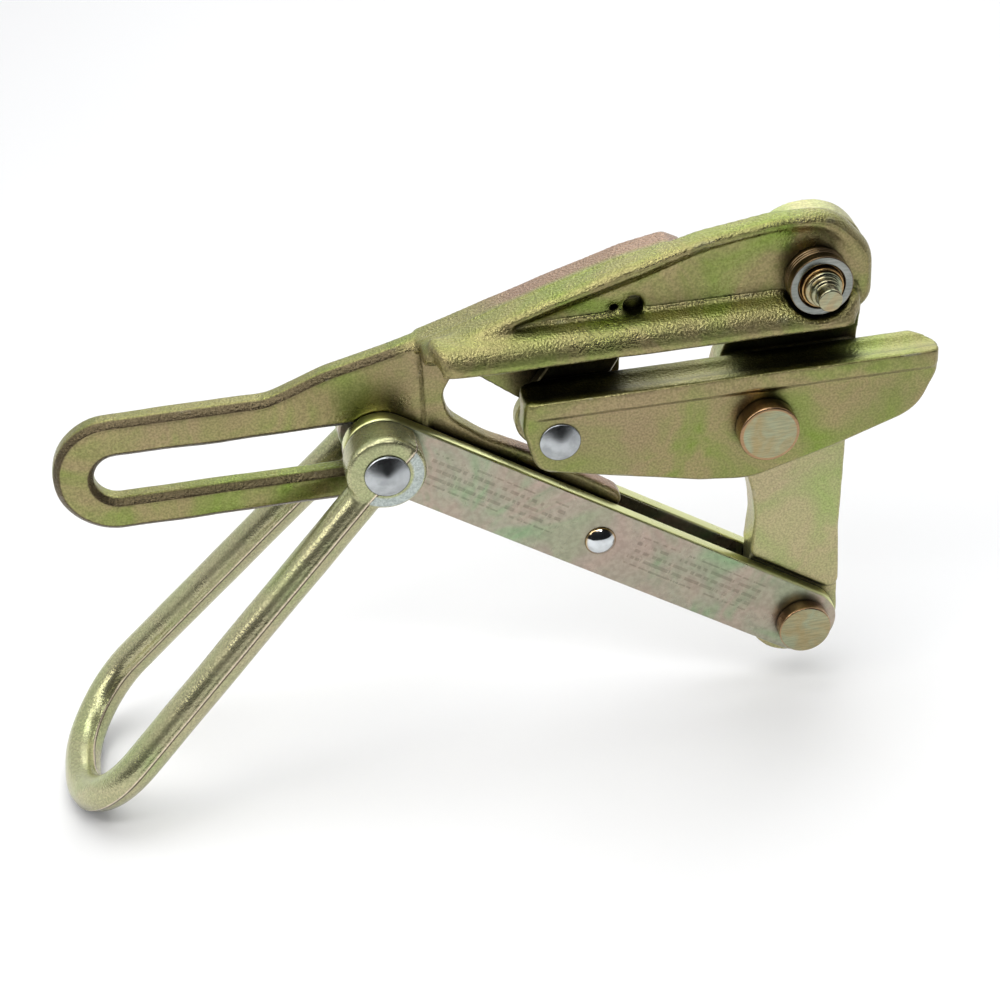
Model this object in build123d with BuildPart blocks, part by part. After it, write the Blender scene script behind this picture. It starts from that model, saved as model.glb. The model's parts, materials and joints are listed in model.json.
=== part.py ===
from build123d import *
import os

# Parallel-jaw pulling grip for wire rope, in millimetres.
# +X runs along the gripped rope toward the jaw end, +Y away from the open side of the jaws, +Z up.
# The origin is on the axis of the gripped rope, at the middle of the fixed jaw.
os.makedirs("parts", exist_ok=True)

# ---- driving dimensions -------------------------------------------------------------------
MID_Y = 14.2            # middle plane of the tail, of both lever ends and of the pair of links
TAIL_T = 8.2            # thickness of the slotted tail and of the lever's two ends
LINK_GAP = 8.9          # clear distance between the two links
LINK_T = 4.8            # link plate thickness
LINK_R = 11.4           # link end radius, half of the link width
ROPE_R = 4.0            # groove radius, for the largest rope
GRIP_EDGE = 0.6         # the fixed jaw's edge stands this far above the rope axis

PIVOT = (45.5, 14.5)    # lever pivot on the body (x, z)
JAW_PIN = (28.1, -27.7)     # lever to moving jaw
JAW_RIVET = (-33.3, -24.1)  # guide link to moving jaw
GUIDE_PIN = (-8.2, 12.2)    # guide link to body
LINK_PIN = (43.3, -110.4)   # lever to links
SLIDE = (-84.7, -26.2)      # links to bail, running in the tail slot
SLOT_Z = -26.5          # centre line of the tail slot
SLOT_R = 7.0            # half the slot's height

LEVER_FRONT, LEVER_BACK = 8.6, 19.6     # thick middle of the lever
JAW_FRONT, JAW_BACK = -7.1, 7.3         # both jaws, front to back
PLATE_FRONT, PLATE_BACK = 3.7, 9.7      # wall of the body that carries the pivot bolt
GUIDE_FRONT, GUIDE_T = 10.2, 4.0        # guide link
EYE_T = 12.5            # thickness of the bail eyes
EYE_R = 12.0
ROD_R = 5.7             # bail rod
BAIL_REACH = 149.0      # slide pin to the rod's centre at the far end of the bail
BAIL_HALF = 31.0        # half width of the bail there, before its corners are rounded
BAIL_BEND_R = 26.0
BAIL_ANGLE = 225.3      # direction of the bail in the XZ plane, degrees
BAIL_DROP = 1.5         # the bail's plane passes this far below the slide pin

RIM_ROUND = 3.4         # rounding of the wall's front edge

TAIL_BACK = MID_Y + TAIL_T / 2
FRONT_LINK_BACK = MID_Y - LINK_GAP / 2
REAR_LINK_FRONT = MID_Y + LINK_GAP / 2
FRONT_LINK_FACE = FRONT_LINK_BACK - LINK_T
REAR_LINK_FACE = REAR_LINK_FRONT + LINK_T
EYE_GAP = 0.4
FRONT_EYE_FACE = FRONT_LINK_FACE - EYE_GAP - EYE_T
REAR_EYE_FACE = REAR_LINK_FACE + EYE_GAP + EYE_T
RUN = 0.08              # radial running clearance of a pin in its bore
JAW_TOP = -10.1         # top of the moving jaw with the jaws open
JAW_GROOVE_R = 12.0     # the moving jaw's groove is wide and shallow
JAW_GROOVE_DEPTH = 0.7

# shank radii of the pins
PIVOT_R, JAW_PIN_R, JAW_RIVET_R, GUIDE_PIN_R = 6.5, 6.3, 4.3, 2.9
LINK_PIN_R, SLIDE_R, CENTRE_R = 6.0, 4.2, 2.6
SLEEVE_R = 5.6          # sleeve on the slide pin, the part that rubs in the slot


def face_at(y):
    """Sketch plane at depth y, drawn in X and Z and extruding toward the viewer."""
    return Plane.XZ.offset(-y)


def disc(centre, radius, front, back, mode=Mode.ADD):
    """Round shank or boss along Y between two depths."""
    with Locations((centre[0], (front + back) / 2, centre[1])):
        Cylinder(radius, back - front, rotation=(90, 0, 0), mode=mode)


def bore(centre, radius, front, back):
    """Round hole along Y between two depths."""
    disc(centre, radius, front, back, mode=Mode.SUBTRACT)


# ---- body: slotted tail, web, arm between the links, fixed jaw and pivot wall ----------------
with BuildPart() as tail:
    with BuildSketch(face_at(TAIL_BACK)):
        with BuildLine():
            FilletPolyline(
                (-180.6, -44.2), (-180.6, -7.0), (-116.5, -7.0), (-98.4, -0.4), (-80.5, 3.8),
                (-71.0, 6.4), (-71.0, -44.2),
                radius=[18.0, 18.0, 16.0, 40.0, 0, 0, 0], close=True)
        make_face()
    extrude(amount=TAIL_T)
    with BuildSketch(face_at(TAIL_BACK)):
        with Locations(((-168.6 + SLOT_R - 83.0) / 2, SLOT_Z)):
            SlotCenterToCenter(168.6 - SLOT_R - 83.0, 2 * SLOT_R)
    extrude(amount=TAIL_T, mode=Mode.SUBTRACT)
    for side in (0, -1):
        rim = tail.faces().sort_by(Axis.Y)[side].edges()
        chamfer(rim.filter_by_position(Axis.X, -181, -72), 2.0)

with BuildPart() as web:
    with BuildSketch(face_at(TAIL_BACK - 0.7)):
        with BuildLine():
            FilletPolyline(
                (-74.0, 5.0), (-74.0, -44.0), (-62.0, -54.0), (-40.0, -58.6), (-12.5, -61.4),
                (-12.0, -56.5), (-21.0, -50.0), (-40.8, -36.6), (-52.3, -30.3), (-63.2, -21.0),
                (-64.6, -13.0), (-60.5, -6.0), (-56.0, -4.0), (-54.0, 8.0),
                radius=[0, 0, 14, 30, 2.2, 4.5, 25, 30, 25, 9, 5, 4, 2, 0], close=True)
        make_face()
    extrude(amount=TAIL_T - 2.0)
    rim = web.edges().filter_by(Axis.Y, reverse=True).filter_by_position(Axis.Z, -62, -7)
    fillet(rim.filter_by_position(Axis.X, -73, -10), 1.0)

with BuildPart() as lug:
    with BuildSketch(face_at(TAIL_BACK)):
        with BuildLine():
            FilletPolyline(
                (-66.0, 6.0), (-61.5, -4.2), (-33.0, -27.0), (-12.5, -27.0), (-9.5, -2.0), (2.0, 2.5),
                (6.5, 12.0), (9.0, 25.0), (3.4, 28.0), (-10.0, 25.5), (-36.7, 17.4), (-61.1, 9.5),
                radius=[0, 3, 6, 3, 5, 5, 10, 1.5, 3, 30, 60, 0], close=True)
        make_face()
    extrude(amount=TAIL_BACK - (GUIDE_FRONT + GUIDE_T + 0.3))

with BuildPart() as shoulder:
    with BuildSketch(face_at(TAIL_BACK)):
        with BuildLine():
            FilletPolyline(
                (-71.0, 3.0), (-71.0, 6.3), (-61.1, 9.5), (-36.7, 17.4), (-10.0, 25.5), (3.4, 28.0),
                (9.0, 25.0), (6.5, 12.0), (2.5, GRIP_EDGE), (-62.0, GRIP_EDGE),
                radius=[0, 0, 0, 60, 30, 3, 1.5, 10, 3, 0], close=True)
        make_face()
    extrude(amount=TAIL_BACK - PLATE_BACK)

with BuildPart() as wall:
    with BuildSketch(face_at(PLATE_BACK)):
        with BuildLine():
            FilletPolyline(
                (-70.6, GRIP_EDGE), (-70.6, 6.7), (-61.1, 9.6), (-36.7, 17.4), (-10.0, 25.5),
                (12.2, 30.8), (34.4, 34.0), (52.3, 33.2), (63.4, 20.0), (63.4, GRIP_EDGE),
                radius=[2.8, 2.8, 60, 60, 40, 40, 30, 14, 12, 6.5], close=True)
        make_face()
    extrude(amount=PLATE_BACK + 1.0)
    with BuildSketch(Plane.XY):     # its front leans back toward the pivot
        Polygon((-80, -0.9), (70, 3.3), (70, -5), (-80, -5), align=None)
    extrude(amount=40, mode=Mode.SUBTRACT)
    fillet(wall.faces().sort_by(Axis.Y)[0].edges(), RIM_ROUND)

with BuildPart() as rib:
    with BuildSketch(Plane.YZ.offset(-70)):
        with BuildLine():
            FilletPolyline(
                (PLATE_FRONT + 2, GRIP_EDGE), (JAW_FRONT, GRIP_EDGE), (JAW_FRONT + 2.0, 9.2),
                (PLATE_FRONT + 2, 10.2),
                radius=[0, 1.8, 6.2, 0], close=True)
        make_face()
    extrude(amount=70 + 58)
    with BuildSketch(Plane.XY):     # rounded nose and heel
        with BuildLine():
            FilletPolyline(
                (-68.5, 6.0), (-68.5, 1.5), (-65.5, -5.5), (-59.0, JAW_FRONT), (53.0, JAW_FRONT),
                (59.5, 0.0), (59.5, 6.0),
                radius=[0, 3, 5, 8, 5, 3, 0], close=True)
        make_face()
    extrude(amount=12, mode=Mode.INTERSECT)

with BuildPart() as body:
    add(tail.part)
    add(web.part)
    add(lug.part)
    add(shoulder.part)
    add(wall.part)
    with BuildSketch(face_at(PLATE_FRONT)):
        with BuildLine():
            FilletPolyline(
                (-53.0, 7.8), (-28.6, 15.4), (-4.0, 22.3), (12.0, 27.6), (34.0, 30.8), (48.0, 30.0),
                (58.8, 20.0), (58.8, 4.6), (42.0, 4.6), (33.0, 9.0), (-18.0, 9.0),
                radius=[1.5, 60, 40, 40, 20, 14, 10, 4, 6, 10, 60], close=True)
        make_face()
    extrude(amount=PLATE_FRONT + 1.0, taper=-28, mode=Mode.SUBTRACT)
    add(rib.part)
    bore(PIVOT, 10.3, -12, PLATE_FRONT)     # clears the nut
    # rope groove of the fixed jaw
    with BuildSketch(Plane.YZ.offset(-70)):
        Circle(ROPE_R)
    extrude(amount=135, mode=Mode.SUBTRACT)
    # room for the guide link behind the wall
    with BuildSketch(face_at(GUIDE_FRONT + GUIDE_T + 0.3)):
        with BuildLine():
            FilletPolyline(
                (-52.0, -24.0), (-59.0, -13.0), (-51.5, -4.0), (-13.0, 21.2), (-3.0, 21.2), (1.5, 12.0),
                (-6.0, -2.0), (-14.0, -30.0),
                radius=[0, 8, 6, 9.5, 8, 8, 10, 0], close=True)
        make_face()
    extrude(amount=GUIDE_T + 0.8, mode=Mode.SUBTRACT)
    bore(PIVOT, PIVOT_R - 1.0, -10, PLATE_BACK)
    bore(GUIDE_PIN, GUIDE_PIN_R, PLATE_FRONT - 0.1, TAIL_BACK)
    bore((-14.0, 12.2), 1.15, PLATE_FRONT - 0.1, PLATE_BACK)

body.part.label = "body_frame"
export_step(body.part, "parts/body_frame.step")

# ---- moving jaw ---------------------------------------------------------------------------
JAW_FACE = JAW_FRONT + 1.1      # web of the moving jaw, set back from its lip
with BuildPart() as bar:    # carries the groove, with a lip along its front
    with BuildSketch(Plane.XY.offset(JAW_TOP)):
        with BuildLine():
            FilletPolyline(
                (-43.0, JAW_FRONT), (-43.0, JAW_BACK), (76.0, JAW_BACK), (82.0, 0.5), (80.6, JAW_FRONT),
                radius=[4.5, 2.5, 2.0, 4.0, 3.0], close=True)
        make_face()
    extrude(amount=-5.6)
    fillet(bar.faces().sort_by(Axis.Z)[0].edges(), 0.9)

with BuildPart() as jaw:
    with BuildSketch(face_at(3.0)):
        with BuildLine():
            FilletPolyline(
                (-43.0, JAW_TOP), (-43.8, -20.0), (-40.5, -34.0), (8.0, -44.8), (24.0, -46.8),
                (52.0, -38.6), (75.0, -30.4), (81.0, -17.5), (80.4, JAW_TOP),
                radius=[0, 8, 7, 30, 24, 60, 14, 8, 0], close=True)
        make_face()
    extrude(amount=3.0 - JAW_FACE)
    web_rim = jaw.faces().sort_by(Axis.Y)[0].edges().filter_by_position(Axis.Z, -50, JAW_TOP - 1)
    fillet(web_rim, 1.8)
    add(bar.part)
    disc(JAW_PIN, 12.5, 0.0, LEVER_FRONT - 0.3)
    disc(JAW_RIVET, 8.0, 0.0, GUIDE_FRONT - 0.3)
    with BuildSketch(Plane.YZ.offset(-50)):
        with Locations((0, JAW_TOP - JAW_GROOVE_DEPTH + JAW_GROOVE_R)):
            Circle(JAW_GROOVE_R)
    extrude(amount=140, mode=Mode.SUBTRACT)
    bore(JAW_PIN, JAW_PIN_R + RUN, -12, 12)
    bore(JAW_RIVET, JAW_RIVET_R, -12, 12)
jaw.part.label = "lower_jaw"
export_step(jaw.part, "parts/lower_jaw.step")

# ---- lever --------------------------------------------------------------------------------
LEFT_SIDE = [(29.2, -72.0), (28.6, -62.0), (26.0, -52.0), (17.6, -40.0), (14.6, -28.0), (18.5, -12.0)]
RIGHT_SIDE = [(60.6, -12.0), (57.8, -46.8), (56.2, -78.0)]
with BuildPart() as middle:     # its lower shoulder runs along the links' top edge
    with BuildSketch(face_at(LEVER_BACK)):
        with BuildLine():
            FilletPolyline(
                *RIGHT_SIDE, (56.4, -103.8), (27.6, -85.0), *LEFT_SIDE,
                radius=[3, 60, 40, 3, 3, 20, 40, 20, 16, 12, 3], close=True)
        make_face()
    extrude(amount=LEVER_BACK - LEVER_FRONT)
    fillet(middle.faces().sort_by(Axis.Y)[0].edges(), 1.2)
    fillet(middle.faces().sort_by(Axis.Y)[-1].edges(), 1.2)

with BuildPart() as lever:
    with BuildSketch(face_at(TAIL_BACK)):
        with BuildLine():
            FilletPolyline(
                (28.0, 32.0), (63.0, 32.0), (63.0, 8.0), *RIGHT_SIDE, (56.2, -98.0), (56.8, -125.0),
                (28.2, -125.0), (27.4, -90.0), *LEFT_SIDE, (27.4, 6.0),
                radius=[17.4, 17.4, 30, 60, 60, 40, 40, 14.2, 14.2, 40, 20, 40, 20, 16, 12, 30, 30],
                close=True)
        make_face()
    extrude(amount=TAIL_T)
    add(middle.part)
    bore(PIVOT, PIVOT_R + RUN, 0, 30)
    bore(JAW_PIN, JAW_PIN_R, 0, 30)
    bore(LINK_PIN, LINK_PIN_R + RUN, 0, 30)
lever.part.label = "lever"
export_step(lever.part, "parts/lever.step")

# ---- guide link, with a slotted lower hole so that the jaw stays parallel ---------------------
GUIDE_END = (-34.2, -25.5)
with BuildPart() as guide:
    with BuildSketch(face_at(GUIDE_FRONT + GUIDE_T)) as plate:
        with Locations(GUIDE_PIN):
            Circle(8.0)
        with Locations(GUIDE_END):
            Circle(9.7)
        make_hull()
        with Locations(GUIDE_END):
            SlotCenterToCenter(4.0, 2 * JAW_RIVET_R + 0.5, rotation=55.3, mode=Mode.SUBTRACT)
    extrude(amount=GUIDE_T)
    chamfer(guide.faces().sort_by(Axis.Y)[0].outer_wire().edges(), 0.5)
    bore(GUIDE_PIN, GUIDE_PIN_R + RUN, 0, 30)
guide.part.label = "guide_link"
export_step(guide.part, "parts/guide_link.step")

# ---- pair of links --------------------------------------------------------------------------
LINK_MID = ((SLIDE[0] + LINK_PIN[0]) / 2, (SLIDE[1] + LINK_PIN[1]) / 2)
LINK_AXIS = Vector(LINK_PIN[0] - SLIDE[0], LINK_PIN[1] - SLIDE[1])
LINK_TILT = -LINK_AXIS.get_angle(Vector(1, 0))
for name, back in (("front_link", FRONT_LINK_BACK), ("rear_link", REAR_LINK_FACE)):
    with BuildPart() as link:
        with BuildSketch(face_at(back)):
            with Locations(LINK_MID):
                SlotCenterToCenter(LINK_AXIS.length, 2 * LINK_R, rotation=LINK_TILT)
        extrude(amount=LINK_T)
        chamfer(link.faces().sort_by(Axis.Y)[0].edges(), 0.5)
        chamfer(link.faces().sort_by(Axis.Y)[-1].edges(), 0.5)
        bore(SLIDE, SLIDE_R, -10, 40)
        bore(LINK_PIN, LINK_PIN_R, -10, 40)
        bore(LINK_MID, CENTRE_R, -10, 40)
    link.part.label = name
    export_step(link.part, f"parts/{name}.step")

# ---- bail -----------------------------------------------------------------------------------
FRONT_EYE_MID = FRONT_EYE_FACE + EYE_T / 2
REAR_EYE_MID = REAR_EYE_FACE - EYE_T / 2
leg = Vector(1, 0, 0).rotate(Axis.Y, -BAIL_ANGLE)
side = Vector(0, 1, 0).cross(leg)
bail_plane = Plane(origin=Vector(SLIDE[0], 0, SLIDE[1]) - side * BAIL_DROP, x_dir=(0, 1, 0), z_dir=side)
with BuildPart() as eyes:
    for mid in (FRONT_EYE_MID, REAR_EYE_MID):
        disc(SLIDE, EYE_R, mid - EYE_T / 2, mid + EYE_T / 2)
    fillet(eyes.edges().filter_by(GeomType.CIRCLE), 2.0)

with BuildPart() as bail:
    with BuildLine(bail_plane) as bow:
        FilletPolyline(
            (FRONT_EYE_MID, 5.0), (MID_Y - BAIL_HALF, BAIL_REACH), (MID_Y + BAIL_HALF, BAIL_REACH),
            (REAR_EYE_MID, 5.0), radius=BAIL_BEND_R)
    with BuildSketch(Plane(origin=bow.line @ 0, z_dir=bow.line % 0)):
        Circle(ROD_R)
    sweep(path=bow.wires()[0])
    add(eyes.part)
    bore(SLIDE, SLIDE_R + RUN, -20, 50)
bail.part.label = "bail"
export_step(bail.part, "parts/bail.step")

# ---- pivot bolt, nut and washer ---------------------------------------------------------------
NUT_FACE = PLATE_FRONT - 7.5
WASHER_T = 1.6
HEAD_SEAT = TAIL_BACK + 0.3 + WASHER_T
with BuildPart() as bolt:
    disc(PIVOT, PIVOT_R, PLATE_BACK, HEAD_SEAT)
    disc(PIVOT, PIVOT_R - 1.0, NUT_FACE - 2.6, PLATE_BACK)
    disc(PIVOT, 4.4, NUT_FACE - 5.2, NUT_FACE - 2.6)
    disc(PIVOT, 3.5, NUT_FACE - 9.2, NUT_FACE - 5.2)
    with BuildSketch(face_at(HEAD_SEAT + 6.5)):
        with Locations(PIVOT):
            RegularPolygon(10.9, 6)
    extrude(amount=6.5)
    chamfer(bolt.faces().sort_by(Axis.Y)[0].edges(), 0.7)
bolt.part.label = "pivot_bolt"
export_step(bolt.part, "parts/pivot_bolt.step")

with BuildPart() as nut:
    disc(PIVOT, 9.4, NUT_FACE, PLATE_FRONT)
    chamfer(nut.faces().sort_by(Axis.Y)[0].edges(), 0.6)
    disc(PIVOT, 6.6, NUT_FACE - 1.1, NUT_FACE)
    bore(PIVOT, PIVOT_R - 1.0, -10, 10)
nut.part.label = "pivot_nut"
export_step(nut.part, "parts/pivot_nut.step")


def ring(name, centre, outer, inner, front, back):
    """Washer, spacer or sleeve along Y, written to its own file."""
    with BuildPart() as piece:
        disc(centre, outer, front, back)
        disc(centre, inner, front, back, mode=Mode.SUBTRACT)
    piece.part.label = name
    export_step(piece.part, f"parts/{name}.step")


def headed_pin(name, centre, shank, head, seat, head_t, end, upset):
    """Pin with a flat round head at the front; its far end is upset over a washer."""
    with BuildPart() as piece:
        disc(centre, head, seat - head_t, seat)
        chamfer(piece.faces().sort_by(Axis.Y)[0].edges(), 0.6)
        disc(centre, shank, seat, end)
        disc(centre, upset, end, end + 1.6)
        chamfer(piece.faces().sort_by(Axis.Y)[-1].edges(), 0.5)
    piece.part.label = name
    export_step(piece.part, f"parts/{name}.step")


def dome(centre, radius, height, seat, side):
    """Spherical rivet head on a face at depth seat; side -1 faces the viewer, +1 faces away."""
    ball = (radius ** 2 + height ** 2) / (2 * height)
    with BuildPart() as cap:
        with Locations((centre[0], seat + side * (height - ball), centre[1])):
            Sphere(ball)
        with Locations((centre[0], seat + side * ball, centre[1])):
            Box(4 * ball, 2 * ball, 4 * ball, mode=Mode.INTERSECT)
    add(cap.part)


ring("pivot_washer", PIVOT, 10.0, PIVOT_R + RUN, HEAD_SEAT - WASHER_T, HEAD_SEAT)

# ---- jaw pin and jaw rivet --------------------------------------------------------------------
headed_pin("jaw_pin", JAW_PIN, JAW_PIN_R, 9.1, JAW_FACE, 6.2, LEVER_BACK + WASHER_T, 7.6)
ring("jaw_pin_washer", JAW_PIN, 9.5, JAW_PIN_R, LEVER_BACK, LEVER_BACK + WASHER_T)
with BuildPart() as jaw_rivet:
    disc(JAW_RIVET, JAW_RIVET_R, JAW_FACE, GUIDE_FRONT + GUIDE_T - 1.0)
    dome(JAW_RIVET, 6.1, 2.2, JAW_FACE, -1)
jaw_rivet.part.label = "jaw_rivet"
export_step(jaw_rivet.part, "parts/jaw_rivet.step")

# ---- guide pin, set in from the rear ------------------------------------------------------------
with BuildPart() as guide_pin:
    disc(GUIDE_PIN, GUIDE_PIN_R, PLATE_BACK - 2.2, TAIL_BACK)
guide_pin.part.label = "guide_pin"
export_step(guide_pin.part, "parts/guide_pin.step")

# ---- link pin, slide pin and centre rivet -------------------------------------------------------
headed_pin("link_pin", LINK_PIN, LINK_PIN_R, 8.4, FRONT_LINK_FACE, 5.0, REAR_LINK_FACE + WASHER_T, 7.2)
ring("link_pin_washer", LINK_PIN, 9.0, LINK_PIN_R, REAR_LINK_FACE, REAR_LINK_FACE + WASHER_T)

with BuildPart() as slide_pin:
    disc(SLIDE, SLIDE_R, FRONT_EYE_FACE, REAR_EYE_FACE)
    dome(SLIDE, 6.7, 3.0, FRONT_EYE_FACE, -1)
    dome(SLIDE, 6.7, 3.0, REAR_EYE_FACE, 1)
slide_pin.part.label = "slide_pin"
export_step(slide_pin.part, "parts/slide_pin.step")
ring("slide_sleeve", SLIDE, SLEEVE_R, SLIDE_R, FRONT_LINK_BACK, REAR_LINK_FRONT)

with BuildPart() as centre_rivet:
    disc(LINK_MID, CENTRE_R, FRONT_LINK_FACE, REAR_LINK_FACE)
    dome(LINK_MID, 4.8, 2.6, FRONT_LINK_FACE, -1)
    dome(LINK_MID, 4.8, 2.6, REAR_LINK_FACE, 1)
centre_rivet.part.label = "centre_rivet"
export_step(centre_rivet.part, "parts/centre_rivet.step")
ring("centre_spacer", LINK_MID, 4.6, CENTRE_R, FRONT_LINK_BACK, REAR_LINK_FRONT)
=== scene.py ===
import json
import math

import bmesh
import bpy
import numpy as np
from mathutils import Matrix, Vector


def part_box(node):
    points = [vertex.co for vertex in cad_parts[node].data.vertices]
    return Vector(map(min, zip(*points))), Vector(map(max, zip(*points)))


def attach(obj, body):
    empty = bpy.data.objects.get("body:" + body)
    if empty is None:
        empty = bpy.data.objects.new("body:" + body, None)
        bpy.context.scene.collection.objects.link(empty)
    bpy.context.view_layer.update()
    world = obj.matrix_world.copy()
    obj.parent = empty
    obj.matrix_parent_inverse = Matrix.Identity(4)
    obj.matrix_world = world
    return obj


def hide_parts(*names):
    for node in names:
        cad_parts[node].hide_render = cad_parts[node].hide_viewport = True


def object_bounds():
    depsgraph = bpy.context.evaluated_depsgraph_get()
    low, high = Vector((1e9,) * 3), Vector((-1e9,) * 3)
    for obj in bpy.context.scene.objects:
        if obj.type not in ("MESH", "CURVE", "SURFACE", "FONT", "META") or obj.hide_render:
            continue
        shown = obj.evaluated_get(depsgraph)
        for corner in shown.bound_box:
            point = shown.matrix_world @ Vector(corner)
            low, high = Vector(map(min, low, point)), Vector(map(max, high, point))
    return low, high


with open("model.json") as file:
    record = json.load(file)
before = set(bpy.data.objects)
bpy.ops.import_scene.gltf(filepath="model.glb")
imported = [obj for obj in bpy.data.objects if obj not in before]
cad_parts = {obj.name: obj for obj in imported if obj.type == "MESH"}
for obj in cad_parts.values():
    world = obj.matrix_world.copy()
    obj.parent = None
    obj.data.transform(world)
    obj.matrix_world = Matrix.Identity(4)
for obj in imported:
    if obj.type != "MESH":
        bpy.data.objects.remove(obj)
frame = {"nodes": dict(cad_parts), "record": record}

MM = 0.001
X_AXIS, Y_AXIS, Z_AXIS, ORIGIN = Vector((1, 0, 0)), Vector((0, 1, 0)), Vector((0, 0, 1)), Vector((0, 0, 0))
CAD_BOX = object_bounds()
NODE_BODY = {n: b for b, members in frame["record"]["behaviour"]["bodies"].items() for n in members}
PIVOTS = {j["name"]: Vector(j["pos_m"]) for j in frame["record"]["behaviour"]["joints"]}
SLIDE, LINK_PIN = PIVOTS["bail_pivot"], PIVOTS["link_pivot"]
LINK_DIR = (LINK_PIN - SLIDE).normalized()
LINK_UP = Vector((-LINK_DIR.z, 0, LINK_DIR.x))

# ---- camera -----------------------------------------------------------------------------------
CAM_AIM = Vector((-50.0, 10.65, -52.2)) * MM
CAM_AZIMUTH, CAM_ELEVATION, CAM_ROLL = (math.radians(a) for a in (-7.45, 33.19, 3.985))
CAM_DISTANCE = 0.718
CAM_LENS, CAM_SENSOR = 85.2, 36.0
CAM_CLIP = (0.01, 50.0)


def make_camera():
    forward = Vector((-math.sin(CAM_AZIMUTH) * math.cos(CAM_ELEVATION),
                      math.cos(CAM_AZIMUTH) * math.cos(CAM_ELEVATION), -math.sin(CAM_ELEVATION)))
    level = Vector((math.cos(CAM_AZIMUTH), math.sin(CAM_AZIMUTH), 0))
    up = level.cross(forward)
    right = math.cos(CAM_ROLL) * level - math.sin(CAM_ROLL) * up
    up = math.sin(CAM_ROLL) * level + math.cos(CAM_ROLL) * up
    turn = Matrix((right, up, -forward)).transposed().to_4x4()
    data = bpy.data.cameras.new("camera")
    data.lens, data.sensor_width = CAM_LENS, CAM_SENSOR
    data.clip_start, data.clip_end = CAM_CLIP
    camera = bpy.data.objects.new("camera", data)
    camera.matrix_world = Matrix.Translation(CAM_AIM - forward * CAM_DISTANCE) @ turn
    bpy.context.scene.collection.objects.link(camera)
    bpy.context.scene.camera = camera


# ---- node helpers -------------------------------------------------------------------------------
AO_SAMPLES, AO_SPAN = 6, (0.18, 0.72)


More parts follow.
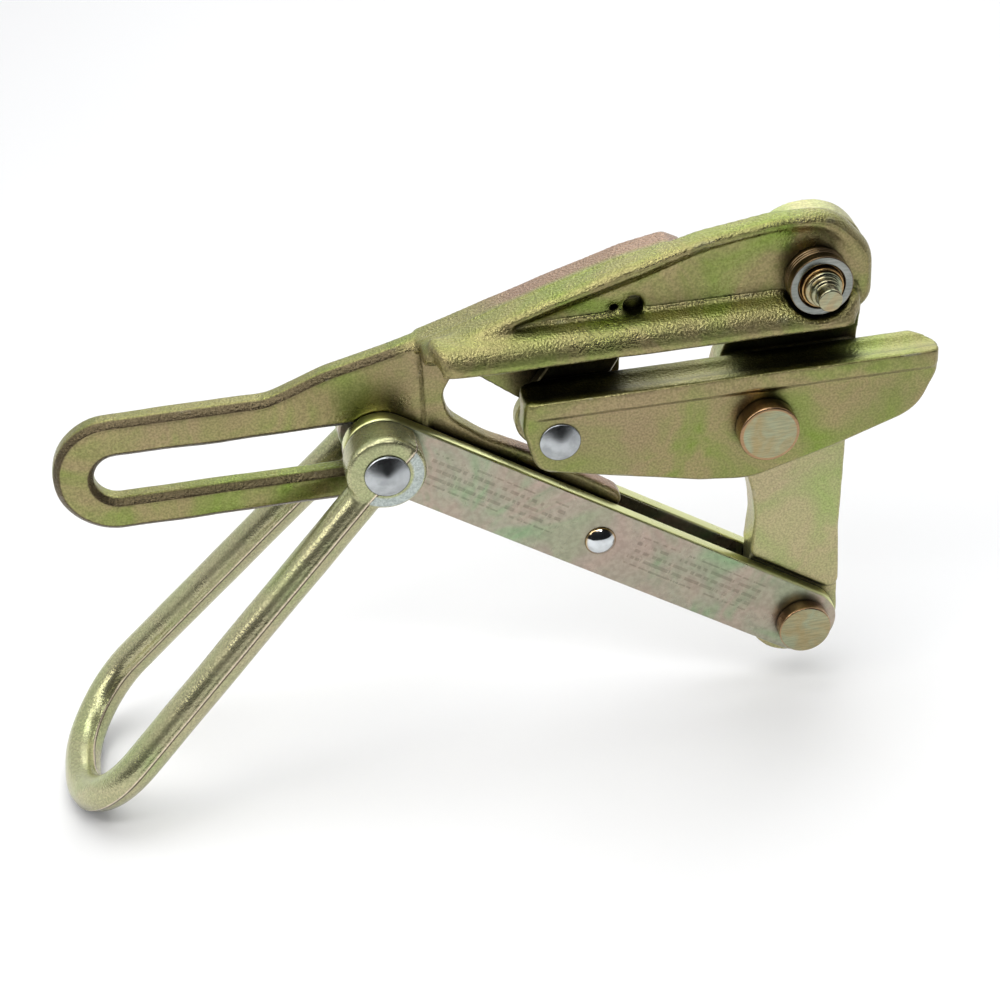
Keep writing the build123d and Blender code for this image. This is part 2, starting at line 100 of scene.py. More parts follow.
class Graph:
    """The node tree of a material or a world, with short ways to add and join nodes."""

    def __init__(self, owner):
        owner.use_nodes = True
        self.owner, self.tree = owner, owner.node_tree
        coords = self.tree.nodes.new("ShaderNodeTexCoord").outputs
        self.place, self.normal, self.direction = coords["Object"], coords["Normal"], coords["Generated"]

    def put(self, socket, value):
        if isinstance(value, bpy.types.NodeSocket):
            self.tree.links.new(value, socket)
        else:
            socket.default_value = value

    def math(self, how, *values):
        made = self.tree.nodes.new("ShaderNodeMath")
        made.operation = how
        for socket, value in zip(made.inputs, values):
            self.put(socket, value)
        return made.outputs[0]

    def times(self, product, *factors):
        for factor in factors:
            product = self.math("MULTIPLY", product, factor)
        return product

    def split(self, vector):
        """The X, Y and Z of a vector."""
        made = self.tree.nodes.new("ShaderNodeSeparateXYZ")
        self.put(made.inputs[0], vector)
        return made.outputs[0], made.outputs[1], made.outputs[2]

    def noise(self, scale, detail=3.0, rough=0.55, distortion=0.0, where=None):
        made = self.tree.nodes.new("ShaderNodeTexNoise")
        made.inputs["Scale"].default_value = scale
        made.inputs["Detail"].default_value = detail
        made.inputs["Roughness"].default_value = rough
        made.inputs["Distortion"].default_value = distortion
        self.put(made.inputs["Vector"], where or self.place)
        return made.outputs["Fac"]

    def ramp(self, value, stops):
        made = self.tree.nodes.new("ShaderNodeValToRGB")
        elements = made.color_ramp.elements
        while len(elements) < len(stops):
            elements.new(0.5)
        for element, (at, colour) in zip(elements, stops):
            element.position, element.color = at, (*colour, 1.0)
        self.put(made.inputs[0], value)
        return made.outputs[0]

    def mix(self, amount, a, b, how="MIX"):
        """a where amount is 0, and b where it is 1."""
        made = self.tree.nodes.new("ShaderNodeMix")
        made.data_type, made.blend_type = "RGBA", how
        made.clamp_factor = True
        colours = [s for s in made.inputs if s.type == "RGBA"]
        self.put(made.inputs[0], amount)
        for socket, value in zip(colours, (a, b)):
            self.put(socket, (*value, 1.0) if isinstance(value, tuple) else value)
        return [s for s in made.outputs if s.type == "RGBA"][0]

    def span(self, value, low, high, to_low=0.0, to_high=1.0):
        made = self.tree.nodes.new("ShaderNodeMapRange")
        made.interpolation_type = "SMOOTHSTEP"
        for socket, number in zip(made.inputs, (value, low, high, to_low, to_high)):
            self.put(socket, number)
        return made.outputs[0]

    def along(self, direction, start=ORIGIN):
        """Distance of the point from start, measured along direction."""
        made = self.tree.nodes.new("ShaderNodeVectorMath")
        made.operation = "DOT_PRODUCT"
        self.put(made.inputs[0], self.place)
        made.inputs[1].default_value = direction
        return self.math("SUBTRACT", made.outputs["Value"], direction.dot(start))

    def radius(self, centre=ORIGIN):
        """Distance of the point from the Y line through centre, or from the piece's own Y axis."""
        x, z = self.along(X_AXIS, centre), self.along(Z_AXIS, centre)
        return self.math("SQRT", self.math("ADD", self.times(x, x), self.times(z, z)))

    def line(self, distance, half_width):
        """1 on a thin line where distance is 0, falling off over half_width."""
        return self.span(self.math("ABSOLUTE", distance), 0.25 * half_width, half_width, 1.0, 0.0)

    def crevice_shade(self, reach, depth):
        """Painted shade: 1 in the open and down to 1 - depth where surfaces crowd each other."""
        made = self.tree.nodes.new("ShaderNodeAmbientOcclusion")
        made.samples = AO_SAMPLES
        made.inputs["Distance"].default_value = reach
        return self.span(made.outputs["AO"], *AO_SPAN, 1.0 - depth, 1.0)

    def dim(self, colour, share):
        """The colour times a grey of share, so that 1 leaves it as it is."""
        grey = self.tree.nodes.new("ShaderNodeCombineColor")
        for socket in grey.inputs:
            self.put(socket, share)
        return self.mix(1.0, colour, grey.outputs[0], "MULTIPLY")

    def bump(self, height, depth, under=None):
        made = self.tree.nodes.new("ShaderNodeBump")
        made.inputs["Strength"].default_value = 1.0
        made.inputs["Distance"].default_value = depth
        self.put(made.inputs["Height"], height)
        if under is not None:
            self.put(made.inputs["Normal"], under)
        return made.outputs[0]

    def finish(self, colour, roughness, normal=None, metallic=1.0, anisotropy=0.0, tangent=None):
        """Sets the shader's sockets and returns the material."""
        shader = self.tree.nodes["Principled BSDF"]
        self.put(shader.inputs["Base Color"], colour)
        self.put(shader.inputs["Roughness"], roughness)
        shader.inputs["Metallic"].default_value = metallic
        shader.inputs["Anisotropic"].default_value = anisotropy
        for socket, value in (("Normal", normal), ("Tangent", tangent)):
            if value is not None:
                self.put(shader.inputs[socket], value)
        return self.owner


# colours of the yellow-passivated zinc: it shifts between olive, yellow, tan and pink
# the yellow on upward faces, the pale tan along the bail's parting line and the pale yellow of the plates'
# upper edges are painted highlights, and the dark brown is painted shade
OLIVE, LEAF, TOP_HIGHLIGHT = (0.250, 0.275, 0.090), (0.205, 0.290, 0.055), (0.32, 0.36, 0.10)
TAN, ROSE, SHADE_BROWN = (0.32, 0.27, 0.130), (0.36, 0.25, 0.18), (0.085, 0.062, 0.042)
PALE, MINT, SILVER = (0.37, 0.355, 0.27), (0.27, 0.345, 0.22), (0.50, 0.51, 0.50)
PINK, CREST_HIGHLIGHT, WORN_GREY = (0.34, 0.22, 0.165), (0.55, 0.47, 0.36), (0.34, 0.38, 0.36)
PLATE_GREEN, PLATE_TAN, PLATE_ROSE = (0.27, 0.38, 0.22), (0.42, 0.35, 0.28), (0.44, 0.31, 0.28)
PLATE_EDGE_HIGHLIGHT, STAMPED, GOLD = (0.72, 0.74, 0.36), (0.35, 0.33, 0.3), (0.50, 0.33, 0.13)


def forged_zinc(name, grain, satin, pale=0.0, tint=PALE, warm=0.0, gain=1.0, worn=0.2, metallic=1.0,
                open_front=None, back_rose=False, brown_tail=False, parting_line=False):
    """Plated forging: patchy olive film, grainy on everything but the flat faces, with painted highlight on
    upward faces, painted shading on slanted faces and painted shade in gaps. satin is its lowest roughness,
    pale the share of tint, warm the extra share of rose, gain its brightness and worn the share of bare
    bevels. open_front is the Y in front of which wide gaps get no painted shade. back_rose turns the top
    behind the body's parting line pink, brown_tail browns the bevels of its slotted tail as painted shade,
    and parting_line draws the bail's parting line as a painted highlight with painted shade beside it and
    wears half of its front eye to grey."""
    g = Graph(bpy.data.materials.new(name))
    patches = g.noise(38.0, detail=4.0, distortion=0.6)
    film = g.ramp(patches, [(0.30, LEAF), (0.43, OLIVE), (0.55, TAN), (0.70, OLIVE)])
    wide = g.noise(16.0, detail=2.0)
    film = g.mix(g.span(wide, 0.45, 0.72, 0.0, 0.35 + warm), film, ROSE)
    _, facing_y, facing_z = g.split(g.normal)
    side_on = g.math("ABSOLUTE", facing_y)
    flat = g.span(side_on, 0.90, 0.985)
    upward = g.span(facing_z, 0.35, 0.85)
    # painted highlight: upward faces turned yellower and brighter
    film = g.mix(g.times(upward, 0.40), film, TOP_HIGHLIGHT)
    bevel = g.times(g.span(side_on, 0.25, 0.6), g.math("SUBTRACT", 1.0, flat))
    # painted shading: slanted faces tinted tan
    film = g.mix(g.times(bevel, 0.45), film, TAN)
    # painted shade: the slotted tail's bevels browned
    if brown_tail:
        tail = g.span(g.along(X_AXIS), -80 * MM, -70 * MM, 1.0, 0.0)
        film = g.mix(g.times(bevel, tail, 0.85), film, SHADE_BROWN)
    if back_rose:
        x, y, _ = g.split(g.place)
        wander = g.math("ADD", y, g.times(g.noise(45.0), 2.5 * MM))
        behind = g.span(wander, BODY_SEAM_Y + 0.6 * MM, BODY_SEAM_Y + 4.0 * MM)
        film = g.mix(g.times(behind, g.span(x, -62 * MM, -40 * MM), upward, 0.9), film, PINK)
    if pale:
        film = g.mix(pale, film, tint)
    if parting_line:    # a painted highlight along the ridge with painted shade beside it, and bare grey beyond it on the front eye
        beyond = g.along(BAIL_SIDE, BAIL_ON_PLANE)
        film = g.mix(g.line(g.math("ADD", beyond, 0.5 * MM), 0.45 * MM), film, SHADE_BROWN)
        film = g.mix(g.line(beyond, 0.35 * MM), film, CREST_HIGHLIGHT)
        off = g.radius(SLIDE)
        ring = g.times(g.span(off, 7.3 * MM, 8.2 * MM), g.span(off, 10.6 * MM, 11.2 * MM, 1.0, 0.0))
        ragged = g.math("ADD", beyond, g.times(g.math("SUBTRACT", g.noise(220.0), 0.5), 5.0 * MM))
        side = g.span(ragged, -1.2 * MM, -0.5 * MM, 1.0, 0.0)
        film = g.mix(g.times(ring, side, g.span(facing_y, -0.9, -0.7, 1.0, 0.0)), film, WORN_GREY)
    speckle = g.noise(1500.0, detail=2.0)
    film = g.dim(film, g.span(speckle, 0.30, 0.72, 0.78, 1.16))
    pits = g.span(g.noise(520.0, detail=3.0), 0.22, 0.26, 0.45, 1.0)
    film = g.dim(film, pits)
    # painted shade where surfaces crowd each other
    film = g.dim(film, g.crevice_shade(0.006, 0.70))
    # painted shade deep in wide gaps, kept off in front of open_front, then the film scaled by gain
    deep_shade = g.crevice_shade(0.022, 0.97)
    if open_front is not None:
        deep_shade = g.math("MAXIMUM", deep_shade, g.math("LESS_THAN", g.along(Y_AXIS), open_front))
    film = g.dim(film, g.times(deep_shade, gain))
    bare = g.times(g.span(g.noise(90.0, detail=5.0), 0.60, 0.66), bevel)
    film = g.mix(g.times(bare, worn), film, SILVER)
    fine = g.noise(1350.0, detail=2.0, rough=0.6)
    rougher = g.math("ADD", 0.22, g.times(g.math("SUBTRACT", 1.0, flat), 0.95))
    normal = g.bump(g.times(fine, rougher), 0.30 * MM * grain)
    normal = g.bump(g.noise(260.0, detail=2.0), 0.015 * MM * grain, normal)
    rough = g.span(g.noise(60.0, detail=4.0), 0.3, 0.7, satin, satin + 0.12)
    return g.finish(film, rough, normal, metallic)


MARK_PITCH, MARK_MIDDLE, MARK_REACH = 2.7 * MM, 1.35 * MM, 5.4 * MM


def plate_zinc(name, marked=False):
    """Plated smooth plate: pale film that drifts from mint to rose, with faint rows of plain dashes."""
    g = Graph(bpy.data.materials.new(name))
    patches = g.noise(30.0, detail=3.0, distortion=1.2)
    film = g.ramp(patches, [(0.32, PLATE_GREEN), (0.44, PALE), (0.54, PLATE_TAN), (0.66, MINT)])
    film = g.mix(g.span(g.noise(22.0, detail=2.0), 0.52, 0.70, 0.0, 0.45), film, PLATE_ROSE)
    film = g.dim(film, g.span(g.noise(700.0, detail=3.0), 0.3, 0.7, 0.88, 1.08))
    # painted shade where surfaces crowd each other
    film = g.dim(film, g.crevice_shade(0.005, 0.85))
    _, facing_y, facing_z = g.split(g.normal)
    # painted highlight along the plate's upper edges
    film = g.mix(g.times(g.span(facing_y, -0.97, -0.90), g.span(facing_z, 0.15, 0.30)), film, PLATE_EDGE_HIGHLIGHT)
    normal = g.bump(g.noise(500.0, detail=3.0), 0.04 * MM)
    if marked:    # u runs along the link from the slide pin and v up across it
        length = (LINK_PIN - SLIDE).length
        u, v = g.along(LINK_DIR, SLIDE), g.along(LINK_UP, SLIDE)
        rows = g.math("DIVIDE", v, MARK_PITCH)
        row = g.math("FLOOR", rows)
        off_row = g.math("SUBTRACT", g.math("SUBTRACT", rows, row), 0.5)
        band = g.math("LESS_THAN", g.math("ABSOLUTE", off_row), 0.2)
        key = g.tree.nodes.new("ShaderNodeCombineXYZ")
        g.put(key.inputs[0], g.times(u, 620.0))
        g.put(key.inputs[1], g.times(row, 7.3))
        dashes = g.math("GREATER_THAN", g.noise(1.0, detail=1.0, where=key.outputs[0]), 0.47)
        first, second = (g.times(g.math("GREATER_THAN", u, start), g.math("LESS_THAN", u, end))
                         for start, end in ((15.0 * MM, 0.40 * length), (0.57 * length, 0.88 * length)))
        inside = g.math("LESS_THAN", g.math("ABSOLUTE", g.math("SUBTRACT", v, MARK_MIDDLE)), MARK_REACH)
        front = g.math("LESS_THAN", facing_y, -0.9)
        shade = g.times(band, dashes, g.math("ADD", first, second), g.times(inside, front))
        film = g.mix(g.times(shade, 0.35), film, STAMPED, "MULTIPLY")
        normal = g.bump(g.times(shade, -1.0), 0.08 * MM, normal)
    return g.finish(film, g.span(g.noise(80.0), 0.3, 0.7, 0.24, 0.36), normal)


def turned_zinc(name, tint=TAN, bright=PALE, grooves=1.0, roughness=0.27, inner=None, outer=None):
    """Plated turned steel: fine sloping tool marks on a film that shifts between two tints; inner and outer
    are (colour, radius) of a film within and beyond that radius of the piece's own axis."""
    g = Graph(bpy.data.materials.new(name))
    film = g.mix(g.span(g.noise(140.0, detail=4.0, distortion=1.0), 0.25, 0.75), tint, bright)
    if inner:
        film = g.mix(g.span(g.radius(), inner[1] - 0.3 * MM, inner[1], 1.0, 0.0), film, inner[0])
    if outer:
        film = g.mix(g.span(g.radius(), outer[1], outer[1] + 0.3 * MM), film, outer[0])
    stretched = g.tree.nodes.new("ShaderNodeMapping")
    stretched.inputs["Rotation"].default_value = (0.0, 0.6, 0.0)
    stretched.inputs["Scale"].default_value = (220.0, 60.0, 2100.0)
    g.put(stretched.inputs["Vector"], g.place)
    marks = g.noise(1.0, detail=3.0, where=stretched.outputs[0])
    film = g.dim(film, g.span(marks, 0.35, 0.65, 0.84, 1.08))
    # painted shade where surfaces crowd each other
    film = g.dim(film, g.crevice_shade(0.007, 0.8))
    return g.finish(film, roughness, g.bump(marks, 0.05 * MM * grooves))


def bright_zinc(name, roughness, low, high, turned=0.0, rim=0.0):
    """Bright rivet head, from low to high in brightness; turned spreads its gloss across fine rings round the
    piece's own Y axis, and the film goes golden beyond the radius rim."""
    g = Graph(bpy.data.materials.new(name))
    film = g.mix(g.span(g.noise(260.0, detail=3.0), 0.35, 0.7), (high, high * 1.05, high * 1.08),
                 (low, low * 1.05, low * 1.08))
    off = g.radius()
    if rim:
        film = g.mix(g.span(off, rim - 0.7 * MM, rim, 0.0, 0.85), film, GOLD)
    # painted shade where surfaces crowd each other
    film = g.dim(film, g.crevice_shade(0.004, 0.6))
    rings = g.math("SINE", g.times(off, 14000.0))
    normal = g.bump(rings, 0.004 * MM * (turned > 0))
    normal = g.bump(g.noise(900.0, detail=2.0), 0.012 * MM, normal)
    if not turned:
        return g.finish(film, roughness, normal)
    lay = g.tree.nodes.new("ShaderNodeTangent")
    lay.direction_type, lay.axis = "RADIAL", "Y"
    return g.finish(film, roughness, normal, anisotropy=turned, tangent=lay.outputs[0])


# ---- mesh helpers -------------------------------------------------------------------------------
def place(piece, node, material):
    """Links a new piece, gives it the material and lets it stand for a CAD node."""
    if piece.name not in bpy.context.scene.collection.objects:
        bpy.context.scene.collection.objects.link(piece)
    piece.data.materials.clear()
    piece.data.materials.append(material)
    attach(piece, NODE_BODY[node])
    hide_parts(node)


WAVES = 28


def waves(points, seed, length):
    """Smooth random field over points, about -1 to 1: a sum of plane waves."""
    rng = np.random.default_rng(seed)
    field = np.zeros(len(points))
    for _ in range(WAVES):
        direction = rng.normal(size=3)
        direction /= np.linalg.norm(direction)
        k = 2 * math.pi / (length * rng.uniform(0.6, 1.6))
        field += np.sin(points @ (direction * k) + rng.uniform(0, 2 * math.pi))
    return field / math.sqrt(WAVES)


def ridge(points, direction, start, half_width, wobble=0.0):
    """1 along the trace of a plane on the surface, fading over half_width; wobble bends the plane."""
    distance = (points - np.array(start)) @ np.array(direction) + wobble
    return np.exp(-(distance / half_width) ** 2)


def settle(piece):
    """Applies the piece's modifiers to its mesh."""
    mesh = bpy.data.meshes.new_from_object(piece.evaluated_get(bpy.context.evaluated_depsgraph_get()))
    piece.modifiers.clear()
    piece.data = mesh


def vectors(mesh, what):
    """A row of three numbers for each vertex: what is co or normal."""
    values = np.empty(len(mesh.vertices) * 3)
    mesh.vertices.foreach_get(what, values)
    return values.reshape(-1, 3)


WEIGHT_LEVELS = 24


def forge(node, name, material, height, voxel, rounds, soften=None, soft_rounds=0):
    """Rebuilds a CAD node as a forging: even mesh, edges rounded over, more so where soften(points) is 1,
    then raised by height(points) and kept inside the node's box."""
    piece = bpy.data.objects.new(name, frame["nodes"][node].data.copy())
    bpy.context.scene.collection.objects.link(piece)
    remesh = piece.modifiers.new("remesh", "REMESH")
    remesh.mode, remesh.voxel_size, remesh.use_smooth_shade = "VOXEL", voxel, True
    smooth = piece.modifiers.new("smooth", "SMOOTH")
    smooth.factor, smooth.iterations = 0.5, rounds
    settle(piece)
    if soften:
        weights = soften(vectors(piece.data, "co"))
        group = piece.vertex_groups.new(name="soft")
        weights = weights * weights * (3 - 2 * weights)
        for level in range(1, WEIGHT_LEVELS + 1):
            chosen = np.flatnonzero(np.round(weights * WEIGHT_LEVELS) == level)
            group.add(chosen.tolist(), level / WEIGHT_LEVELS, "REPLACE")
        smooth = piece.modifiers.new("soft", "SMOOTH")
        smooth.factor, smooth.iterations, smooth.vertex_group = 0.5, soft_rounds, "soft"
        settle(piece)
        piece.vertex_groups.clear()
    mesh = piece.data
    mesh.name = name
    points, normals = vectors(mesh, "co"), vectors(mesh, "normal")
    points += normals * height(points)[:, None]
    low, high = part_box(node)
    points = np.clip(points, low, high)
    mesh.vertices.foreach_set("co", points.ravel())
    mesh.update()
    place(piece, node, material)


EDGE_SHARE = 0.45    # the most of an edge that one rounded corner takes


def rounded(corners, radius, steps=5):
    """Open outline through the corners, each inner one turned by an arc of about that radius."""
    points = [Vector(corners[0])]
    for before, here, after in zip(corners, corners[1:], corners[2:]):
        before, here, after = Vector(before), Vector(here), Vector(after)
        reach = min(radius, EDGE_SHARE * (before - here).length, EDGE_SHARE * (after - here).length)
        start, end = here + (before - here).normalized() * reach, here + (after - here).normalized() * reach
        for i in range(steps + 1):
            t = i / steps
            points.append((1 - t) ** 2 * start + 2 * t * (1 - t) * here + t ** 2 * end)
    points.append(Vector(corners[-1]))
    return points


SEGMENTS = 96


def lathe(outline, centre):
    """Mesh of revolution about the Y line through centre. The outline's points are (radius, y), and it runs
    from axis to axis or closes on itself."""
    bm = bmesh.new()
    rings = []
    for radius, y in outline:
        if radius < 1e-6:
            rings.append([bm.verts.new((centre.x, y, centre.z))])
            continue
        turns = [2 * math.pi * i / SEGMENTS for i in range(SEGMENTS)]
        rings.append([bm.verts.new((centre.x + radius * math.cos(t), y, centre.z + radius * math.sin(t)))
                      for t in turns])
    for one, two in zip(rings, rings[1:]):
        if len(one) == 1 and len(two) == 1:
            continue
        for i in range(SEGMENTS):
            j = (i + 1) % SEGMENTS
            corner = [one[i % len(one)], one[j % len(one)], two[j % len(two)], two[i % len(two)]]
            bm.faces.new(list(dict.fromkeys(corner)))
    bmesh.ops.recalc_face_normals(bm, faces=bm.faces)
    for face in bm.faces:
        face.smooth = True
    return bm


def to_piece(bm, name, node, material, origin=None):
    """Makes the piece that stands for node from bm, with its own origin there if one is given."""
    mesh = bpy.data.meshes.new(name)
    if origin:
        bmesh.ops.translate(bm, verts=bm.verts, vec=-origin)
    bm.to_mesh(mesh)
    bm.free()
    piece = bpy.data.objects.new(name, mesh)
    if origin:
        piece.location = origin
    place(piece, node, material)


END_STEPS = 40


def stadium_plate(name, node, centres, radius, bevel, material):
    """Flat bar with round ends between two centres, its edges rounded over."""
    low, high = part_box(node)
    start, end = centres
    heading = math.atan2(end.z - start.z, end.x - start.x)
    outline = []
    for centre, first in ((end, heading - math.pi / 2), (start, heading + math.pi / 2)):
        for i in range(END_STEPS + 1):
            t = first + math.pi * i / END_STEPS
            outline.append(Vector((centre.x + radius * math.cos(t), 0, centre.z + radius * math.sin(t))))
    bm = bmesh.new()
    face = bm.faces.new([bm.verts.new((p.x, low.y, p.z)) for p in outline])
    grown = bmesh.ops.extrude_face_region(bm, geom=[face])
    moved = [v for v in grown["geom"] if isinstance(v, bmesh.types.BMVert)]
    bmesh.ops.translate(bm, verts=moved, vec=(0, high.y - low.y, 0))
    bmesh.ops.recalc_face_normals(bm, faces=bm.faces)
    rims = [e for e in bm.edges if abs(e.verts[0].co.y - e.verts[1].co.y) < 1e-6]
    bmesh.ops.bevel(bm, geom=rims, offset=bevel, segments=4, profile=0.5, affect="EDGES")
    for side in bm.faces:
        side.smooth = abs(side.normal.y) < 0.999
    to_piece(bm, name, node, material)


DOME_STEPS, DOME_DROP = 16, 0.85


def dome(radius, height, power, y, outward):
    """Outline of a rivet head on the plane y, from its rim to its crown, DOME_DROP of its height above the
    rim's edge; a power of 2 is round, and less is pointed."""
    outline = [Vector((radius, y))]
    for i in range(DOME_STEPS + 1):
        share = 1 - i / DOME_STEPS
        outline.append(Vector((radius * share, y + outward * height * (1 - DOME_DROP * share ** power))))
    return outline


# ---- materials ----------------------------------------------------------------------------------
# the bail's parting line lies in a plane along its legs, and the body's in the plane Y = BODY_SEAM_Y
BAIL_ANGLE = math.radians(225.3)
BAIL_SIDE = Y_AXIS.cross(Vector((math.cos(BAIL_ANGLE), 0, math.sin(BAIL_ANGLE))))
BAIL_ON_PLANE = SLIDE - BAIL_SIDE * 1.5 * MM
BODY_SEAM_Y = 10.0 * MM

body_zinc = forged_zinc("zinc_forged_body", grain=1.2, satin=0.24, worn=0.1, open_front=6.0 * MM,
                        back_rose=True, brown_tail=True)
jaw_zinc = forged_zinc("zinc_forged_jaw", grain=0.6, satin=0.28, warm=0.1)
lever_zinc = forged_zinc("zinc_forged_lever", grain=0.6, satin=0.28, pale=0.2, gain=1.5, metallic=0.75)
bail_zinc = forged_zinc("zinc_forged_bail", grain=0.3, satin=0.20, pale=0.5, tint=(0.36, 0.37, 0.25),
                        gain=1.35, worn=0.0, metallic=0.8, parting_line=True)
link_zinc = plate_zinc("zinc_plate")
marked_link_zinc = plate_zinc("zinc_plate_marked", marked=True)
pin_zinc = turned_zinc("zinc_turned", tint=(0.36, 0.29, 0.15), bright=(0.33, 0.36, 0.24),
                       outer=((0.38, 0.24, 0.13), 7.9 * MM))
bolt_zinc = turned_zinc("zinc_bolt", tint=(0.40, 0.30, 0.17), bright=(0.36, 0.39, 0.26), grooves=0.5,
                        roughness=0.2)
nut_zinc = turned_zinc("zinc_nut", tint=(0.22, 0.24, 0.22), bright=(0.34, 0.35, 0.32), grooves=0.4,
                       roughness=0.24, inner=((0.46, 0.29, 0.12), 7.1 * MM),
                       outer=((0.16, 0.11, 0.06), 8.95 * MM))
rivet_zinc = bright_zinc("zinc_bright", roughness=0.10, low=0.55, high=0.70, rim=4.6 * MM)
turned_rivet_zinc = bright_zinc("zinc_bright_turned", roughness=0.26, low=0.34, high=0.50, turned=0.75)
hidden_zinc = turned_zinc("zinc_hidden")

# ---- forgings -----------------------------------------------------------------------------------
# in mm: x, z and radius of the wall's guide pin hole, small hole and nut seat, the radius round the rope's
# axis that the groove takes up, and the x of the step between the tail and the wall
WALL_HOLES = ((-8.2, 12.2, 2.9), (-14.0, 12.2, 1.15), (45.5, 14.5, 10.0))
GROOVE_REACH = 4.2
TAIL_STEP_X = -71.5


def body_height(p):
    """Low lumps all over, and the parting line along the top of the wall."""
    lumps = 0.10 * MM * waves(p, seed=11, length=26 * MM) + 0.012 * MM * waves(p, seed=12, length=7 * MM)
    top = (p[:, 2] > 0.003) & (p[:, 0] < 0.052)
    wobble = 0.25 * MM * waves(p, seed=13, length=30 * MM)
    return lumps + 0.18 * MM * top * ridge(p, Y_AXIS, (0, BODY_SEAM_Y, 0), 0.40 * MM, wobble)


def body_soft(p):
    """1 on the front of the body's wall, half at the step of its tail, 0 at the holes and the rope groove."""
    x, y, z = p.T / MM
    front = np.clip((7.5 - y) / 2.0, 0, 1)
    wall = np.clip((np.hypot(y, z) - GROOVE_REACH) / 1.5, 0, 1) * (z > -1.0)
    for hole_x, hole_z, radius in WALL_HOLES:
        wall *= np.clip((np.hypot(x - hole_x, z - hole_z) - radius - 0.2) / 0.8, 0, 1)
    step = 0.5 * np.clip(1.6 - np.abs(x - TAIL_STEP_X) / 4.0, 0, 1) * np.clip((14.0 - y) / 2.0, 0, 1)
    return np.maximum(front * wall, step)


def bail_height(p):
    """Low lumps and the parting line, sunk a little so that the rod keeps its thickness."""
    seam = ridge(p, BAIL_SIDE, BAIL_ON_PLANE, 0.50 * MM)
    return 0.04 * MM * waves(p, seed=22, length=24 * MM) + 0.30 * MM * seam - 0.1 * MM


def bail_soft(p):
    """1 on the eyes' rounded outer edges."""
    off = np.hypot(p[:, 0] - SLIDE.x, p[:, 2] - SLIDE.z) / MM
    return np.clip((off - 8.0) / 1.5, 0, 1) * (off < 14.5)


def jaw_height(p):
    return 0.05 * MM * waves(p, seed=31, length=30 * MM) + 0.02 * MM * waves(p, seed=32, length=8 * MM)


def jaw_soft(p):
    """1 on the upper corner of the jaw's left end."""
    x, _, z = p.T / MM
    return np.clip((-38.0 - x) / 3.0, 0, 1) * np.clip((z + 18.0) / 4.0, 0, 1)


def lever_height(p):
    return 0.06 * MM * waves(p, seed=41, length=30 * MM) + 0.03 * MM * waves(p, seed=42, length=5 * MM)


forge("body_frame", "forged_body", body_zinc, body_height, voxel=0.50 * MM, rounds=14, soften=body_soft,
      soft_rounds=60)
forge("bail", "forged_bail", bail_zinc, bail_height, voxel=0.50 * MM, rounds=9, soften=bail_soft,
      soft_rounds=12)
forge("lower_jaw", "forged_jaw", jaw_zinc, jaw_height, voxel=0.45 * MM, rounds=13, soften=jaw_soft,
      soft_rounds=70)
forge("lever", "forged_lever", lever_zinc, lever_height, voxel=0.50 * MM, rounds=3)

# ---- links --------------------------------------------------------------------------------------
LINK_R, LINK_BEVEL = 11.4 * MM, 0.75 * MM
stadium_plate("link_front", "front_link", (SLIDE, LINK_PIN), LINK_R, LINK_BEVEL, marked_link_zinc)
stadium_plate("link_rear", "rear_link", (SLIDE, LINK_PIN), LINK_R, LINK_BEVEL, link_zinc)

# ---- turned pieces --------------------------------------------------------------------------------
UPSET = 1.6 * MM


def middle(node):
    low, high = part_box(node)
    return (low + high) / 2


def headed_pin(node, name, head_r, head_t, shank_r, upset_r):
    """Pin along Y: flat head at the front, upset end at the back."""
    low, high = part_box(node)
    front, back = low.y, high.y
    corners = [(0, front), (head_r, front), (head_r, front + head_t), (shank_r, front + head_t),
               (shank_r, back - UPSET), (upset_r, back - UPSET), (upset_r, back), (0, back)]
    to_piece(lathe(rounded(corners, radius=0.8 * MM), middle(node)), name, node, pin_zinc, middle(node))


headed_pin("jaw_pin", "pin_jaw", head_r=9.1 * MM, head_t=6.2 * MM, shank_r=6.3 * MM, upset_r=7.6 * MM)
headed_pin("link_pin", "pin_link", head_r=8.4 * MM, head_t=5.0 * MM, shank_r=6.0 * MM, upset_r=7.2 * MM)


def domed_rivet(node, name, material, shank_r, front_cap, back_cap=None):
    """Rivet along Y; a cap is (radius, height, power), and without a back_cap that end is flush."""
    low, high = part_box(node)
    seat = low.y + front_cap[1]
    outline = dome(*front_cap, seat, -1)[::-1]
    outline += [Vector((shank_r, seat)), Vector((shank_r, (low.y + high.y) / 2))]
    if back_cap:
        outline.append(Vector((shank_r, high.y - back_cap[1])))
        outline += dome(*back_cap, high.y - back_cap[1], 1)
    else:
        outline += [Vector((shank_r, high.y)), Vector((0, high.y))]
    to_piece(lathe(outline, middle(node)), name, node, material, middle(node))


JAW_CAP = (6.1 * MM, 2.2 * MM, 1.35)
SLIDE_CAP = (6.7 * MM, 3.0 * MM, 1.45)
CENTRE_CAP = (4.8 * MM, 2.6 * MM, 2.4)
domed_rivet("jaw_rivet", "rivet_jaw", turned_rivet_zinc, shank_r=4.3 * MM, front_cap=JAW_CAP)
domed_rivet("slide_pin", "rivet_slide", turned_rivet_zinc, shank_r=4.2 * MM, front_cap=SLIDE_CAP,
            back_cap=SLIDE_CAP)
domed_rivet("centre_rivet", "rivet_centre", rivet_zinc, shank_r=2.6 * MM, front_cap=CENTRE_CAP,
            back_cap=CENTRE_CAP)


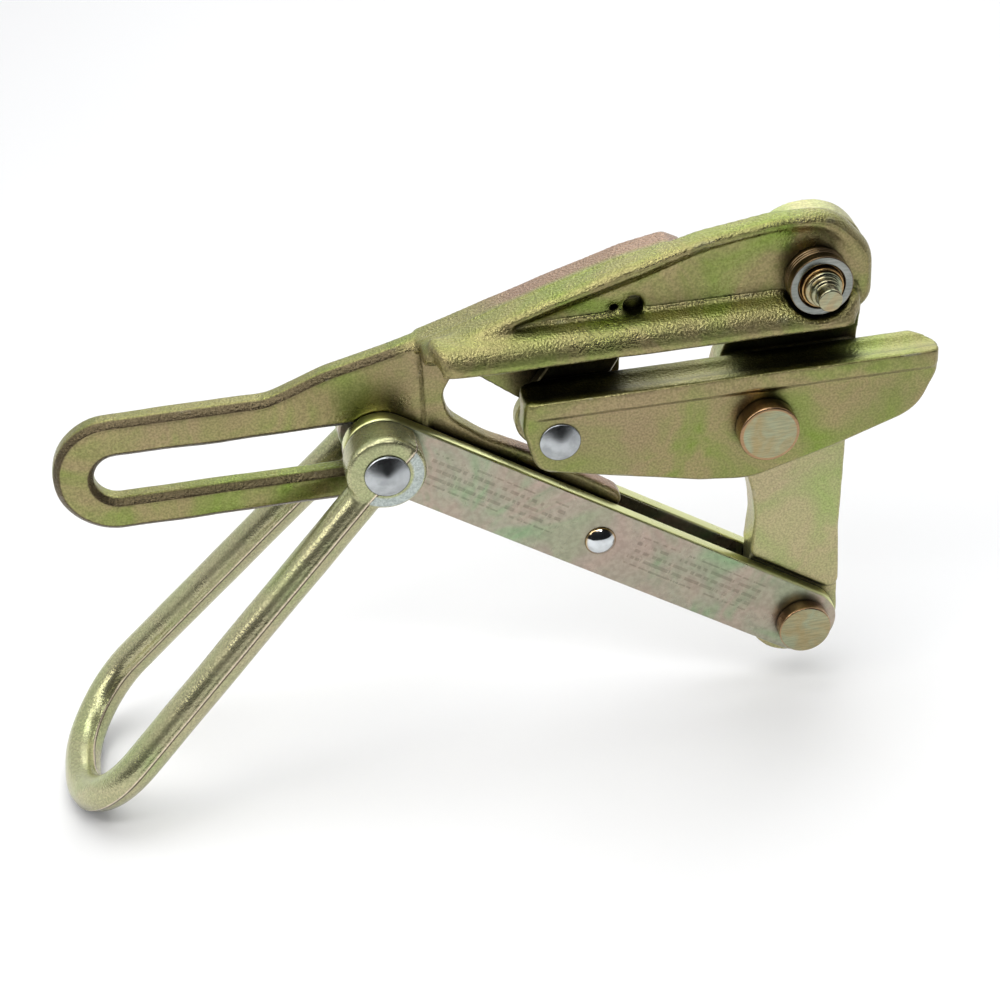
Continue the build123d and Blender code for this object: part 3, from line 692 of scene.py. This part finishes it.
def make_nut():
    """Round nut: grooved side, bright face ring and a recess round the bolt."""
    low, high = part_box("pivot_nut")
    outer, hole, face = 9.4 * MM, 5.55 * MM, low.y + 1.1 * MM
    first, pitch, depth, half = 1.6, 1.1, 0.28 * MM, 0.22 * MM
    corners = [(hole, high.y), (outer, high.y)]
    for i in range(3):
        y = high.y - (first + pitch * i) * MM
        corners += [(outer, y), (outer - depth, y - half), (outer, y - 2 * half)]
    corners += [(outer, face), (7.0 * MM, face), (6.8 * MM, face + 1.2 * MM), (6.3 * MM, face + 1.2 * MM),
                (6.2 * MM, low.y), (hole, low.y)]
    outline = rounded(corners, radius=0.35 * MM, steps=4)
    centre = middle("pivot_nut")
    to_piece(lathe(outline + outline[:1], centre), "nut_pivot", "pivot_nut", nut_zinc, centre)


HEX_R, HEX_T = 10.9 * MM, 6.5 * MM


def make_bolt():
    """Stepped bolt end with rounded shoulders, shank and hexagon head."""
    low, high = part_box("pivot_bolt")
    centre = PIVOTS["lever_pivot"]
    seat = high.y - HEX_T
    corners = [(0, low.y), (3.5 * MM, low.y), (3.5 * MM, low.y + 4.0 * MM), (4.4 * MM, low.y + 4.2 * MM),
               (4.4 * MM, low.y + 6.6 * MM), (5.5 * MM, low.y + 6.8 * MM), (5.5 * MM, 9.7 * MM),
               (6.5 * MM, 9.7 * MM), (6.5 * MM, seat), (0, seat)]
    bm = lathe(rounded(corners, radius=0.55 * MM), centre)
    head = bmesh.ops.create_cone(bm, cap_ends=True, segments=6, radius1=HEX_R, radius2=HEX_R,
                                 depth=HEX_T)["verts"]
    turn = Matrix.Rotation(math.pi / 2, 4, "X")
    move = Matrix.Translation((centre.x, seat + HEX_T / 2, centre.z))
    bmesh.ops.transform(bm, matrix=move @ turn, verts=head)
    edges = {e for v in head for e in v.link_edges}
    bmesh.ops.bevel(bm, geom=list(edges), offset=0.7 * MM, segments=3, profile=0.5, affect="EDGES")
    to_piece(bm, "bolt_pivot", "pivot_bolt", bolt_zinc, centre)


make_nut()
make_bolt()

# ---- nodes that keep their shape ------------------------------------------------------------------
KEPT = {"guide_link": lever_zinc, "pivot_washer": pin_zinc, "jaw_pin_washer": pin_zinc,
        "guide_pin": hidden_zinc, "link_pin_washer": pin_zinc, "slide_sleeve": hidden_zinc,
        "centre_spacer": hidden_zinc}
for node, finish in KEPT.items():
    kept = frame["nodes"][node]
    kept.data.materials.clear()
    kept.data.materials.append(finish)

# ---- stage --------------------------------------------------------------------------------------
FLOOR_HALF = 1.1
LIGHT_AIM = Vector((-50.0, 10.0, -50.0)) * MM
# the surroundings' strength, what their dark part takes off it, and where that part fades out in the
# direction's Y and Z
AMBIENT, DARKENING = 0.86, 0.84
FRONT_FADE, SKY_FADE = (-0.45, 0.10), (0.90, 0.995)
SKY_TINT = (0.97, 0.98, 1.0, 1.0)


def make_floor():
    mesh = bpy.data.meshes.new("floor")
    low = CAD_BOX[0].z
    corners = [(FLOOR_HALF * x, FLOOR_HALF * y, low) for x, y in ((-1, -1), (1, -1), (1, 1), (-1, 1))]
    mesh.from_pydata(corners, [], [(0, 1, 2, 3)])
    floor = bpy.data.objects.new("floor", mesh)
    bpy.context.scene.collection.objects.link(floor)
    g = Graph(bpy.data.materials.new("floor_pale"))
    tone = g.ramp(g.noise(3.0, detail=2.0), [(0.0, (0.94, 0.94, 0.94)), (1.0, (0.97, 0.97, 0.97))])
    mesh.materials.append(g.finish(tone, 0.8, metallic=0.0))


def area_light(name, place, size, power, tint=(1, 1, 1)):
    """Soft light at place, turned to the middle of the object."""
    data = bpy.data.lights.new(name, "AREA")
    data.shape, data.size, data.size_y = "RECTANGLE", *size
    data.energy, data.color = power, tint
    light = bpy.data.objects.new(name, data)
    turn = (Vector(place) - LIGHT_AIM).to_track_quat("Z", "Y").to_matrix().to_4x4()
    light.matrix_world = Matrix.Translation(place) @ turn
    bpy.context.scene.collection.objects.link(light)


def make_world():
    """Pale surroundings that darken toward the front at eye level, so that the metal shows its shape. The
    camera sees them as plain white."""
    world = bpy.data.worlds.new("studio")
    bpy.context.scene.world = world
    g = Graph(world)
    _, y, z = g.split(g.direction)
    dark = g.times(g.span(y, *FRONT_FADE, 1.0, 0.0), g.span(z, *SKY_FADE, 1.0, 0.0))
    strength = g.math("SUBTRACT", AMBIENT, g.times(dark, DARKENING))
    path = g.tree.nodes.new("ShaderNodeLightPath")
    shade = g.tree.nodes["Background"]
    shade.inputs["Color"].default_value = SKY_TINT
    g.put(shade.inputs["Strength"], g.math("MAXIMUM", strength, path.outputs["Is Camera Ray"]))


make_camera()
make_floor()
make_world()
area_light("top_softbox", (-0.10, 0.05, 0.75), size=(0.7, 0.35), power=2.3)
area_light("front_strip", (-0.13, -0.45, 0.60), size=(0.7, 0.10), power=2.0)
area_light("left_key", (-0.75, -0.35, 0.55), size=(0.35, 0.5), power=2.2, tint=(1.0, 0.98, 0.94))
area_light("back_fill", (0.25, 0.9, 0.45), size=(0.9, 0.5), power=2.5)
bpy.context.scene.view_settings.view_transform = "Standard"
